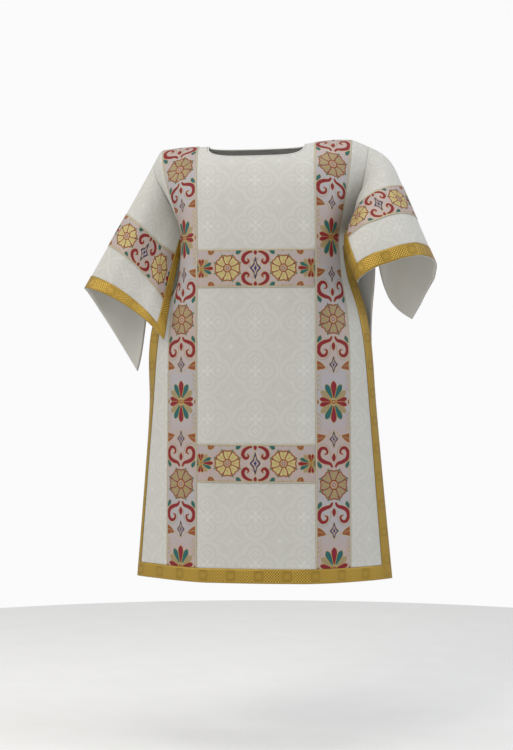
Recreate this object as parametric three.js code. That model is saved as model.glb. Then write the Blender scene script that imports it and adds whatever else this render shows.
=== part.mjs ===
// A dalmatic: a deacon's wide, open-sided vestment, in the shape it takes when it is worn.
//
// Each piece is cut flat and described on its own flat cloth, then laid over the
// worn form point by point, so that true lengths are kept along the cloth.
// The origin is the neck centre on the shoulder line: +X is the wearer's left,
// -Y is the front, +Z is up.
import * as THREE from 'three';

// ---- the cut, in millimetres
const LENGTH = 1135;          // shoulder seam to hem
const NECK_HALF = 124;        // half the width of the neckline
const NECK_FRONT = 82;        // its depth in the front panel
const NECK_BACK = 24;         // and in the back panel
const SHOULDER_HALF = 283;    // half the panel's width at the shoulder
const ARMPIT_HALF = 300;      // at the low end of the armhole
const HEM_HALF = 371;         // at the hem
const ARMHOLE = 290;          // depth of the armhole below the shoulder seam
const SLEEVE = 357;           // sleeve length along its top fold
const SLEEVE_HALF = 285;      // half the width of the opened-out sleeve
const SLANT = 124;            // how far the sleeve head is cut back under the arm
const CLAVUS_IN = 145;        // inner edge of the upright orphreys
const ORPHREY = 94;           // width of every orphrey band
const GALLOON = 35;           // width of the gold braid
const BRAID_DROP = 28;        // the side braid begins this far below the armhole
const SLEEVE_BAND = 141;      // top of the sleeve orphrey, from the shoulder point
const CROSS_BANDS = [[330, 424], [801, 895]];

// ---- thicknesses
const CLOTH = 2.0;            // damask with its interlining and lining
const TRIM = 1.0;             // orphrey and galloon
const LINING = 1.0;
const GAP = 0.3;              // clear of what lies underneath
const SEAM = 0.15;            // each side of a seam
const PIPING = 2.0;           // radius of the rolled neck edge

const CLAVUS_OUT = CLAVUS_IN + ORPHREY;
const FLAT_HALF = 110;
const rad = THREE.MathUtils.degToRad;

// ---- the worn form of the two panels
// down: distance below the shoulder seam. lean: fall of the centre line, 0 is level.
// flat, inner, outer: how far the cloth has turned sideways at the flat middle's end
// and at the two edges of the upright orphrey. right, left: the same at the braid's
// inner edge and at the panel's own edge, on each side. shift: of the centre line.
// dip: which way the turning cloth goes, 0 is down and 90 is level.
//   down  lean flat inner outer  right     left     shift dip
const FRONT_FORM = [
  [0,     13,  0,  0,   8,    60,  62,  24,  28,  -13,   0],
  [40,    26,  1,  4,  20,    72,  76,  38,  42,  -11,  14],
  [80,    43,  2,  9,  34,    84,  90,  50,  54,   -8,  32],
  [140,   65,  3, 15,  50,    90,  96,  58,  56,   -5,  58],
  [210,   78,  4, 20,  68,    92,  96,  60,  56,   -2,  78],
  [290,   85,  5, 24,  84,    92,  90,  60,  58,    0,  90],
  [390,   88,  5, 24,  78,    88,  90,  56,  60,    1,  90],
  [480,   89,  5, 22,  54,    54,  46,  54,  66,    1,  90],
  [560,   88,  5, 22,  42,    52,  38,  52,  72,    1,  90],
  [700,   88,  5, 22,  39,    50,  78,  50,  80,    2,  90],
  [900,   87,  5, 22,  37,    44, 108,  48,  74,    3,  90],
  [LENGTH, 86, 5, 22,  36,    38, 118,  46,  60,    5,  90],
];
const BACK_FORM = [
  [0,     13,  0,  0,   8,    60,  62,  24,  28,  -13,   0],
  [40,    28,  1,  4,  20,    58,  60,  32,  36,  -11,  14],
  [80,    44,  2,  6,  26,    52,  54,  36,  40,   -8,  32],
  [140,   64,  3,  8,  28,    42,  44,  36,  38,   -5,  58],
  [210,   80,  4, 10,  30,    36,  38,  34,  36,   -2,  78],
  [290,   88,  5, 11,  32,    36,  38,  36,  38,    0,  90],
  [390,   91,  5, 13,  38,    42,  50,  44,  50,    1,  90],
  [480,   91,  5, 15,  44,    50,  62,  52,  62,    1,  90],
  [560,   90,  5, 17,  46,    54,  64,  55,  66,    1,  90],
  [700,   89,  5, 18,  44,    54,  64,  56,  66,    2,  90],
  [900,   88,  5, 18,  42,    50,  62,  54,  64,    3,  90],
  [LENGTH, 87, 5, 18,  40,    48,  60,  52,  62,    5,  90],
];
// The shoulder line rises towards the raised arm, and the rise dies out below it.
const SHOULDER_RISE = [[-300, -4], [-238, -4], [-124, -2], [0, -2], [124, 1], [190, 10], [238, 14], [300, 16]];
const RISE_ENDS = 260;

// ---- the worn form of the sleeves
// drop: fall of the top fold at the shoulder and beyond it. forward: its turn to the
// front. front, back: how far the cloth has turned down at each distance from the
// top fold. sag: the share of that turn that goes straight down, for the front and
// the back, at the armhole and at the hem. gather: how much more the cloth turns down
// at the armhole than at the hem. bow: how much less of it goes straight down near
// the top fold, at the hem.
const ARMS = {
  right: {
    side: -1, drop: [61, 62], forward: 7, bend: 90, sag: [[0.75, 0.1], [0.85, 0.5]], gather: [0, 0.4],
    bow: [0.38, 0], front: [[0, 0], [50, 56], [110, 84], [200, 85], [SLEEVE_HALF, 82]],
    back: [[0, 0], [60, 38], [120, 66], [SLEEVE_HALF, 76]],
  },
  left: {
    side: 1, drop: [24, 67], forward: 16, bend: 110, sag: [[0, 0], [0.7, 0.2]], gather: [0, 1.3],
    bow: [0, 0], front: [[0, 0], [70, 30], [130, 60], [210, 92], [250, 130], [SLEEVE_HALF, 168]],
    back: [[0, 0], [60, 16], [120, 26], [SLEEVE_HALF, 32]],
  },
};
const HEAD_EASE = 2.5;        // how soon the sleeve leaves the armhole's own shape

// A value from a table of rows, on a smooth curve through them.
function smooth(rows, x, column) {
  const last = rows.length - 1;
  if (x <= rows[0][0]) return rows[0][column];
  if (x >= rows[last][0]) return rows[last][column];
  let k = 0;
  while (rows[k + 1][0] <= x) k++;
  const slope = (a, b) => (rows[b][column] - rows[a][column]) / (rows[b][0] - rows[a][0]);
  const step = rows[k + 1][0] - rows[k][0];
  const t = (x - rows[k][0]) / step;
  const m0 = slope(Math.max(k - 1, 0), k + 1) * step;
  const m1 = slope(k, Math.min(k + 2, last)) * step;
  return (2 * t ** 3 - 3 * t ** 2 + 1) * rows[k][column] + (t ** 3 - 2 * t ** 2 + t) * m0
    + (3 * t ** 2 - 2 * t ** 3) * rows[k + 1][column] + (t ** 3 - t ** 2) * m1;
}

// The same on straight lines between the rows.
function straight(rows, x) {
  let k = 0;
  while (k < rows.length - 2 && rows[k + 1][0] < x) k++;
  const t = THREE.MathUtils.clamp((x - rows[k][0]) / (rows[k + 1][0] - rows[k][0]), 0, 1);
  return THREE.MathUtils.lerp(rows[k][1], rows[k + 1][1], t);
}

// Where a strip of this length ends, if it turns evenly from one angle to another.
function arc(length, from, to) {
  if (Math.abs(to - from) < 1e-6) return [length * Math.cos(from), length * Math.sin(from)];
  const radius = length / (to - from);
  return [radius * (Math.sin(to) - Math.sin(from)), radius * (Math.cos(from) - Math.cos(to))];
}

// Where a point at this distance ends up on a strip whose angle is given at knots.
function turned(knots, distance) {
  let along = 0, down = 0;
  for (let k = 0; k < knots.length - 1; k++) {
    const [start, a] = knots[k], [end, b] = knots[k + 1];
    const part = (k === knots.length - 2 ? distance : Math.min(distance, end)) - start;
    if (part <= 0) break;
    const from = rad(a), to = rad(a + (b - a) * part / (end - start));
    const [run, drop] = arc(part, from, to);
    along += run;
    down += drop;
  }
  return [along, down];
}

// Half the width of a panel at a distance below the shoulder.
function panelHalf(v) {
  if (v < ARMHOLE) return THREE.MathUtils.lerp(SHOULDER_HALF, ARMPIT_HALF, v / ARMHOLE);
  return THREE.MathUtils.lerp(ARMPIT_HALF, HEM_HALF, (v - ARMHOLE) / (LENGTH - ARMHOLE));
}

// The centre lines of the two panels, in steps down the cloth.
const STEP = 5;
function centreLine(form, facing) {
  const line = [new THREE.Vector2(0, 0)];
  for (let v = STEP / 2; v < LENGTH + 3 * STEP; v += STEP) {
    const lean = rad(smooth(form, v, 1));
    line.push(line.at(-1).clone().add(new THREE.Vector2(facing * Math.cos(lean), -Math.sin(lean)).multiplyScalar(STEP)));
  }
  return line;
}
const PANELS = {
  front: { form: FRONT_FORM, facing: -1, neck: NECK_FRONT, line: centreLine(FRONT_FORM, -1) },
  back: { form: BACK_FORM, facing: 1, neck: NECK_BACK, line: centreLine(BACK_FORM, 1) },
};

// A point of a panel: w across the cloth from its middle, v down it.
function onPanel(panel, w, v) {
  const { form, facing, line } = PANELS[panel];
  const k = THREE.MathUtils.clamp(Math.floor(v / STEP), 0, line.length - 2);
  const centre = line[k].clone().lerp(line[k + 1], v / STEP - k);
  const near = w < 0 ? 5 : 7;
  const half = panelHalf(v);
  const [across, inward] = turned([
    [0, 0],
    [FLAT_HALF, smooth(form, v, 2)],
    [CLAVUS_IN, smooth(form, v, 3)],
    [CLAVUS_OUT, smooth(form, v, 4)],
    [half - GALLOON, smooth(form, v, near)],
    [half, smooth(form, v, near + 1)],
  ], Math.abs(w));
  const dip = rad(smooth(form, v, 10));
  const rise = straight(SHOULDER_RISE, w) * Math.max(0, 1 - v / RISE_ENDS);
  return new THREE.Vector3(
    smooth(form, v, 9) + Math.sign(w) * across,
    centre.x - facing * inward * Math.sin(dip),
    centre.y - inward * Math.cos(dip) + rise,
  );
}

// A point of an armhole: q is 0 at the shoulder, 1 at its low end in front and -1 behind.
function onArmhole(arm, q) {
  const v = ARMHOLE * Math.abs(q);
  return onPanel(q >= 0 ? 'front' : 'back', ARMS[arm].side * panelHalf(v), v);
}

// The way the top fold of a sleeve runs at a distance from the shoulder.
function heading(arm, r) {
  const { side, drop, forward, bend } = ARMS[arm];
  const f = THREE.MathUtils.smoothstep(r, 0, bend);
  const fall = rad(THREE.MathUtils.lerp(drop[0], drop[1], f)), turn = rad(forward * f);
  return new THREE.Vector3(side * Math.cos(fall) * Math.cos(turn), -Math.sin(turn), -Math.sin(fall) * Math.cos(turn));
}
for (const arm of Object.keys(ARMS)) {
  const fold = [onArmhole(arm, 0)];
  for (let r = STEP / 2; r < SLEEVE + 3 * STEP; r += STEP) fold.push(fold.at(-1).clone().addScaledVector(heading(arm, r), STEP));
  ARMS[arm].fold = fold;
}

// A point of a sleeve that hangs free: r along the top fold, q round from it.
function hanging(arm, r, q) {
  const { fold, front, back, sag, gather, bow } = ARMS[arm];
  const head = SLANT * Math.abs(q), half = q >= 0 ? 0 : 1;
  const s = (r - head) / (SLEEVE - head);
  const share = THREE.MathUtils.lerp(...sag[half], s) - bow[half] * s * (1 - Math.abs(q));
  const more = 1 + gather[half] * (1 - s);
  const k = THREE.MathUtils.clamp(Math.floor(r / STEP), 0, fold.length - 2);
  const way = heading(arm, r);
  const fore = new THREE.Vector3(0, q >= 0 ? -1 : 1, 0);
  fore.addScaledVector(way, -fore.dot(way)).normalize();
  const down = new THREE.Vector3().crossVectors(way, fore);
  if (down.z > 0) down.negate();
  down.lerp(new THREE.Vector3(0, 0, -1), share).normalize();
  const [along, drop] = turned((q >= 0 ? front : back).map(([at, angle]) => [at, angle * more]), Math.abs(q) * SLEEVE_HALF);
  return fold[k].clone().lerp(fold[k + 1], r / STEP - k).addScaledVector(fore, along).addScaledVector(down, drop);
}

// A point of the sewn sleeve: s is 0 at the armhole and 1 at the hem.
function onSleeve(arm, s, q) {
  const head = SLANT * Math.abs(q);
  const pull = onArmhole(arm, q).sub(hanging(arm, head, q));
  return hanging(arm, head + s * (SLEEVE - head), q).addScaledVector(pull, Math.max(0, 1 - s) ** HEAD_EASE);
}

// The outward direction of a surface at a point, from its two directions there.
function outward(right, down) {
  return new THREE.Vector3().crossVectors(down, right).normalize();
}
function panelOut(panel, w, v) {
  const right = onPanel(panel, w + 1, v).sub(onPanel(panel, w - 1, v)).multiplyScalar(panel === 'front' ? 1 : -1);
  return outward(right, onPanel(panel, w, v + 2).sub(onPanel(panel, w, Math.max(v - 2, 0))));
}
function sleeveOut(arm, s, q) {
  const e = 0.004;
  const right = onSleeve(arm, s, q + e).sub(onSleeve(arm, s, q - e)).multiplyScalar(-ARMS[arm].side);
  return outward(right, onSleeve(arm, s + e, q).sub(onSleeve(arm, Math.max(s - e, 0), q)));
}

// Two cloths that meet at a seam share the direction halfway between theirs.
function mitre(a, b) {
  const half = a.clone().add(b).normalize();
  return half.divideScalar(Math.max(0.5, half.dot(a)));
}

// ---- the stations of the panels' cloth
const span = (from, to, parts) => Array.from({ length: parts }, (_, k) => from + (to - from) * (k + 1) / parts);
const BRAID_START = 1 - GALLOON / SLEEVE_HALF;
const HEAD_STATIONS = [0, 0.09, 0.19, 0.3, 0.42, 0.56, 0.71, BRAID_START, 1];
const NECK_ENDS = ARMHOLE * HEAD_STATIONS[4];   // the rows are level from here down
const ROWS = [
  ...HEAD_STATIONS.map((q) => q * ARMHOLE),
  ARMHOLE + BRAID_DROP, CROSS_BANDS[0][0], ...span(...CROSS_BANDS[0], 2),
  ...span(CROSS_BANDS[0][1], CROSS_BANDS[1][0], 4),
  ...span(...CROSS_BANDS[1], 2),
  ...span(CROSS_BANDS[1][1], LENGTH - GALLOON, 2), LENGTH,
];
// Across: the neck's columns, then the orphrey's, the plain strip's and the braid's.
const NECK_COLUMNS = [0, 60, 98, 115, 122, NECK_HALF];
const half = [...NECK_COLUMNS, CLAVUS_IN, ...span(CLAVUS_IN, CLAVUS_OUT, 3), 'a', 'b', 'c', 'd'];
const across = (station, v) => {
  const edge = panelHalf(v), braid = edge - GALLOON;
  switch (station) {
    case 'a': return (CLAVUS_OUT + braid) / 2;
    case 'b': return braid;
    case 'c': return braid + GALLOON / 2;
    case 'd': return edge;
    default: return station;
  }
};
const COLUMNS = [...half.slice(1).reverse().map((station) => [-1, station]), ...half.map((station) => [1, station])];

// The neckline: a wide curve with full corners.
function neckDepth(panel, w) {
  const t = Math.abs(w) / NECK_HALF;
  return t >= 1 ? 0 : PANELS[panel].neck * (1 - t ** 4) ** 0.25;
}

// One station of a panel, with the point of the cloth's outer face and its direction.
function panelNode(panel, [sign, station], row, trim) {
  let v = ROWS[row];
  const plain = typeof station === 'number' ? station : 0;
  if (typeof station === 'number' && v < NECK_ENDS) {
    const top = neckDepth(panel, plain);
    v = top + (NECK_ENDS - top) * v / NECK_ENDS;
  }
  const w = sign * across(station, v);
  let out = panelOut(panel, w, v);
  const atEdge = station === 'd' && v <= ARMHOLE, atShoulder = v === 0;
  if (atShoulder) out = mitre(out, panelOut(panel === 'front' ? 'back' : 'front', w, 0));
  else if (atEdge && !trim) out = mitre(out, sleeveOut(sign < 0 ? 'right' : 'left', 0, (panel === 'front' ? 1 : -1) * v / ARMHOLE));
  const inset = atEdge ? SEAM : 0;
  const [aside, below] = trim ?? [0, 0];
  return { point: onPanel(panel, w - sign * inset + aside, (atShoulder ? SEAM : v) + below), out };
}

// ---- making a piece
// The piece's stations run left to right and top to bottom as its outer face is seen.
function piece(name, material, stations, inner, outer) {
  const wide = stations.length - 1, high = stations[0].length - 1;
  const geometry = new THREE.BoxGeometry(wide, high, 1, wide, high, 1);
  const position = geometry.getAttribute('position');
  for (let k = 0; k < position.count; k++) {
    const { point, out } = stations[Math.round(position.getX(k) + wide / 2)][Math.round(high / 2 - position.getY(k))];
    const moved = point.clone().addScaledVector(out, position.getZ(k) > 0 ? outer : inner);
    position.setXYZ(k, moved.x, moved.y, moved.z);
  }
  // The inner face is divided along the same diagonals as the outer one.
  const { start, count } = geometry.groups[5];
  for (let k = start; k < start + count; k += 6) {
    const [a, b, d, , c] = [0, 1, 2, 3, 4].map((n) => geometry.index.getX(k + n));
    [a, b, c, a, c, d].forEach((corner, n) => geometry.index.setX(k + n, corner));
  }
  geometry.computeVertexNormals();
  const mesh = new THREE.Mesh(geometry, material);
  mesh.name = name;
  return mesh;
}

const damask = new THREE.MeshStandardMaterial({ color: 0xece8da, roughness: 0.62, metalness: 0, name: 'damask' });
const orphrey = new THREE.MeshStandardMaterial({ color: 0xc9aeb0, roughness: 0.6, metalness: 0.05, name: 'orphrey' });
const gold = new THREE.MeshStandardMaterial({ color: 0xc6962f, roughness: 0.42, metalness: 0.5, name: 'gold_braid' });
const lining = new THREE.MeshStandardMaterial({ color: 0xe9e6df, roughness: 0.55, metalness: 0, name: 'lining' });
const rolled = new THREE.MeshStandardMaterial({ color: 0xf1efe8, roughness: 0.6, metalness: 0, name: 'neck_edge' });

const dalmatic = new THREE.Group();
dalmatic.name = 'dalmatic';
const onTop = [GAP, GAP + TRIM];
const index = (list, value) => list.findIndex((v) => Math.abs(v - value) < 1e-6);
const between = (from, to) => Array.from({ length: to - from + 1 }, (_, k) => from + k);

// ---- the two panels and what is sewn to them
for (const panel of ['front', 'back']) {
  // Seen from outside, the back panel runs from the wearer's left to the right.
  const columns = panel === 'front' ? COLUMNS : [...COLUMNS].reverse();
  const all = between(0, ROWS.length - 1);
  const hemRow = ROWS.length - 2, braidTop = index(ROWS, ARMHOLE + BRAID_DROP);
  dalmatic.add(piece(`${panel}_panel`, damask, columns.map((c) => all.map((row) => panelNode(panel, c, row))), -CLOTH, 0));

  for (const [name, sign] of [['right', -1], ['left', 1]]) {
    const strip = (low, high) => columns.filter(([side, station]) => side === sign && low(station) && high(station));
    const clavus = strip((s) => s >= CLAVUS_IN - 1e-6, (s) => s <= CLAVUS_OUT + 1e-6);
    dalmatic.add(piece(`clavus_${panel}_${name}`, orphrey,
      clavus.map((c) => between(0, hemRow).map((row) => panelNode(panel, c, row, [0, row === hemRow ? -GAP : 0]))), ...onTop));
    const braid = strip((s) => typeof s === 'string' && s !== 'a', () => true);
    dalmatic.add(piece(`galloon_side_${panel}_${name}`, gold,
      braid.map((c) => between(braidTop, ROWS.length - 1).map((row) => panelNode(panel, c, row, [0, 0]))), ...onTop));
  }

  const middle = columns.filter(([, s]) => typeof s === 'number' && s <= CLAVUS_IN + 1e-6);
  CROSS_BANDS.forEach(([top, bottom], k) => {
    const rows = between(index(ROWS, top), index(ROWS, bottom));
    dalmatic.add(piece(`crossband_${panel}_${k ? 'lower' : 'upper'}`, orphrey,
      middle.map((c) => rows.map((row) => panelNode(panel, c, row, [c[1] === CLAVUS_IN ? -c[0] * GAP : 0, 0]))), ...onTop));
  });

  const hem = columns.filter(([, s]) => typeof s === 'number' || s === 'a' || s === 'b');
  dalmatic.add(piece(`galloon_hem_${panel}`, gold,
    hem.map((c) => [hemRow, hemRow + 1].map((row) => panelNode(panel, c, row, [c[1] === 'b' ? -c[0] * GAP : 0, 0]))), ...onTop));
}

// ---- the sleeves: open under the arm, with braid round the hem and both open edges
for (const arm of ['right', 'left']) {
  const round = [...HEAD_STATIONS.slice(1).reverse().map((q) => -q), ...HEAD_STATIONS];
  if (arm === 'left') round.reverse();
  const BAND_END = SLEEVE_BAND + ORPHREY, BRAID = SLEEVE - GALLOON;
  // Rows from the seam to the hem, at whole distances from the shoulder past the seam.
  const share = [0, 0.45];
  const rowCount = share.length + 6;
  const sleeveNode = (q, row, trim = [0, 0]) => {
    const head = SLANT * Math.abs(q);
    const past = [SLEEVE_BAND, SLEEVE_BAND + ORPHREY / 2, BAND_END, (BAND_END + BRAID) / 2, BRAID, SLEEVE];
    const r = (row < share.length ? head + (SLEEVE_BAND - head) * share[row] : past[row - share.length]) + trim[1];
    const s = Math.max((r - head) / (SLEEVE - head), 0);
    const around = q + trim[0] / SLEEVE_HALF;
    if (row > 0) return { point: onSleeve(arm, s, around), out: sleeveOut(arm, s, q) };
    const v = ARMHOLE * Math.abs(q);
    const edge = (panel) => panelOut(panel, ARMS[arm].side * panelHalf(v), v);
    const cloth = q === 0 ? edge('front').add(edge('back')).normalize() : edge(q > 0 ? 'front' : 'back');
    return { point: onSleeve(arm, SEAM / SLEEVE, q), out: mitre(cloth, sleeveOut(arm, 0, q)) };
  };
  const rows = between(0, rowCount - 1);
  const bandRow = share.length, braidRow = rowCount - 2;
  const add = (name, material, columns, list, heights, trims = () => [0, 0]) => dalmatic.add(
    piece(name, material, columns.map((q) => list.map((row) => sleeveNode(q, row, trims(q, row)))), ...heights));
  const inner = round.filter((q) => Math.abs(q) <= BRAID_START + 1e-6);

  add(`sleeve_${arm}`, damask, round, rows, [-CLOTH, 0]);
  add(`sleeve_lining_${arm}`, lining, round, between(1, rowCount - 1), [-CLOTH - GAP - LINING, -CLOTH - GAP]);
  const tuck = (q) => (Math.abs(Math.abs(q) - BRAID_START) < 1e-6 ? -Math.sign(q) * GAP : 0);
  add(`sleeve_band_${arm}`, orphrey, inner, between(bandRow, bandRow + 2), onTop, (q) => [tuck(q), 0]);
  add(`galloon_cuff_${arm}`, gold, inner, [braidRow, braidRow + 1], onTop, (q) => [tuck(q), 0]);
  for (const [where, sign] of [['front', 1], ['back', -1]]) {
    const edge = round.filter((q) => q * sign >= BRAID_START - 1e-6);
    add(`galloon_underarm_${where}_${arm}`, gold, edge, rows.slice(1), onTop);
  }
}

// ---- the rolled edge round the neck
const RING = [
  ...NECK_COLUMNS.slice(1).reverse().map((w) => ['front', -w]), ...NECK_COLUMNS.map((w) => ['front', w]),
  ...NECK_COLUMNS.slice(0, -1).reverse().map((w) => ['back', w]), ...NECK_COLUMNS.slice(1, -1).map((w) => ['back', -w]),
];
const SIDES = 6;
const ring = new THREE.TorusGeometry(10, PIPING, SIDES, RING.length);
const ringCentres = RING.map(([panel, w]) => {
  const v = neckDepth(panel, w), t = w / NECK_HALF, depth = PANELS[panel].neck;
  // The direction into the opening, square to the neckline on the flat cloth.
  const aside = new THREE.Vector2(-Math.sign(t) * Math.abs(t) ** 3 / NECK_HALF, v > 0 ? -((v / depth) ** 3) / depth : 0).normalize();
  const reach = PIPING + GAP + 0.4;
  const low = onPanel(panel, w + aside.x * reach, Math.max(v + aside.y * reach, 0));
  return low.addScaledVector(panelOut(panel, w, v), -CLOTH / 2);
});
const ringPosition = ring.getAttribute('position');
for (let k = 0; k < ringPosition.count; k++) {
  const station = k % (RING.length + 1) % RING.length, around = Math.floor(k / (RING.length + 1)) % SIDES;
  const before = ringCentres.at(station - 1), here = ringCentres[station], after = ringCentres[(station + 1) % RING.length];
  const way = after.clone().sub(before).normalize();
  const side = new THREE.Vector3().crossVectors(way, new THREE.Vector3(0, 0, 1)).normalize();
  const up = new THREE.Vector3().crossVectors(side, way);
  const angle = around / SIDES * 2 * Math.PI;
  const moved = here.clone().addScaledVector(side, PIPING * Math.cos(angle)).addScaledVector(up, PIPING * Math.sin(angle));
  ringPosition.setXYZ(k, moved.x, moved.y, moved.z);
}
ring.computeVertexNormals();
const neckEdge = new THREE.Mesh(ring, rolled);
neckEdge.name = 'neck_piping';
dalmatic.add(neckEdge);

export default dalmatic;
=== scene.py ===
import math
from functools import lru_cache

import bmesh
import bpy
import numpy as np
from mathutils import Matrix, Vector
from mathutils.geometry import delaunay_2d_cdt


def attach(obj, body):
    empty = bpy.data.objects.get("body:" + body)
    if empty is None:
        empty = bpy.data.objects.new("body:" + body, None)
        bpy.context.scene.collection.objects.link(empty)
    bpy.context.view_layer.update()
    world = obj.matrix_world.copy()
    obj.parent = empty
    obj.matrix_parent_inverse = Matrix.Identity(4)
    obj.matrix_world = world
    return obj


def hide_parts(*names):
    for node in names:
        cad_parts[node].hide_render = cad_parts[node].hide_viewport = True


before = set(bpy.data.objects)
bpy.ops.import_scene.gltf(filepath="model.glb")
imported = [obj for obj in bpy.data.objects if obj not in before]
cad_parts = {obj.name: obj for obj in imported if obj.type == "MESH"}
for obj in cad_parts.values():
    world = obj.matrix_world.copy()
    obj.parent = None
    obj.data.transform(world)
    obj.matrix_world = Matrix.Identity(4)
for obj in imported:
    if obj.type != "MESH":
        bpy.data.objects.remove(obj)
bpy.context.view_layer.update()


# ---- The room
# A small clothes studio: a lens at chest height a few degrees to the wearer's left,
# a pale painted floor, large soft lamps in front, above and on both sides, and a white
# wall behind that is lit more brightly than the room is.
def linear(code):
    """An sRGB hex colour as linear light, opaque."""
    channels = [int(code[k:k + 2], 16) / 255 for k in (1, 3, 5)]
    return tuple(c / 12.92 if c <= 0.04045 else ((c + 0.055) / 1.055) ** 2.4 for c in channels) + (1.0,)


def put(tree, kind, inputs=(), output=0, **settings):
    """Adds a node with its settings. An input is another node's output to link, or a value."""
    node = tree.nodes.new("ShaderNode" + kind)
    for name, value in settings.items():
        setattr(node, name, value)
    for place, value in inputs.items() if isinstance(inputs, dict) else enumerate(inputs):
        if isinstance(value, bpy.types.NodeSocket):
            tree.links.new(value, node.inputs[place])
        elif value is not None:
            node.inputs[place].default_value = value
    return node.outputs[output] if node.outputs else None


def finish(name):
    """A new material, and its empty node tree."""
    material = bpy.data.materials.new(name)
    material.use_nodes = True
    material.node_tree.nodes.clear()
    return material, material.node_tree


lens = bpy.data.cameras.new("camera")
lens.lens = 76.8
lens.sensor_width = 36
camera = bpy.data.objects.new("camera", lens)
bpy.context.collection.objects.link(camera)
camera.location = (0.4738, -3.9719, -0.575)
camera.rotation_euler = (math.radians(90), 0, math.radians(7))
bpy.context.scene.camera = camera

for name, place, aim, size, power, tint in [
    ("key_lamp", (-1.8, -3.2, 2.2), (0, 0, -0.45), 2.0, 52, "#fffaf3"),
    ("left_lamp", (-3.0, -0.6, 0.9), (0, 0, -0.5), 1.8, 20, "#fffdf8"),
    ("right_lamp", (3.0, -0.5, 0.9), (0, 0, -0.5), 1.8, 26, "#eef3ff"),
    ("top_lamp", (0.0, -0.5, 2.6), (0, 0, -0.4), 2.2, 30, "#ffffff"),
]:
    lamp = bpy.data.lights.new(name, "AREA")
    lamp.shape = "DISK"
    lamp.size = size
    lamp.energy = power
    lamp.color = linear(tint)[:3]
    stand = bpy.data.objects.new(name, lamp)
    stand.location = place
    stand.rotation_euler = (Vector(aim) - Vector(place)).to_track_quat("-Z", "Y").to_euler()
    bpy.context.collection.objects.link(stand)

room = bpy.data.worlds.new("pale_room")
room.use_nodes = True
tree = room.node_tree
tree.nodes.clear()
wall = put(tree, "Background", [linear("#fdfdfe"), 0.98])
bounce = put(tree, "Background", [linear("#fdfdfe"), 0.56])
put(tree, "OutputWorld", [put(tree, "MixShader", [put(tree, "LightPath"), bounce, wall])])
bpy.context.scene.world = room
bpy.context.scene.view_settings.view_transform = "Standard"

# Painted floor: matt, with the faint unevenness of a rolled coat.
floor_paint, tree = finish("floor_paint")
spots = put(tree, "TexNoise", {"Vector": put(tree, "TexCoord", output=3), "Scale": 9.0, "Detail": 4.0})
tone = put(tree, "Mix", {0: spots, 6: linear("#f3f3f1"), 7: linear("#fafaf9")}, 2, data_type="RGBA")
surface = put(tree, "BsdfPrincipled", {"Base Color": tone, "Roughness": 0.75})
put(tree, "OutputMaterial", [surface])
shape = bmesh.new()
bmesh.ops.create_circle(shape, cap_ends=True, segments=128, radius=2.5)
bmesh.ops.translate(shape, verts=shape.verts, vec=(0, 0, -1.49))
mesh = bpy.data.meshes.new("floor")
shape.to_mesh(mesh)
shape.free()
mesh.materials.append(floor_paint)
floor = bpy.data.objects.new("floor", mesh)
bpy.context.collection.objects.link(floor)


# ---- The front and back panels
# Ivory silk damask with its interlining and a plain lining, cut as two flared panels
# and sewn to each other along the shoulders only. They hang over the wearer's chest
# and back, and stay open at the sides. All sizes are in millimetres on the flat cloth.
LENGTH = 1135          # shoulder seam to hem
SHOULDER_HALF = 283    # half the panel's width at the shoulder
ARMPIT_HALF = 300      # at the low end of the armhole
HEM_HALF = 371         # at the hem
ARMHOLE = 290          # depth of the armhole below the shoulder seam
NECK_HALF = 124        # half the width of the neckline
NECK_DEPTH = {"front": 82, "back": 24}
CLAVUS_IN, CLAVUS_OUT = 145, 239   # where the upright orphreys lie
GALLOON = 35           # width of the gold braid
CLOTH = 2.0            # thickness with interlining and lining
SEAM = 0.15            # each side of a seam

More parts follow.
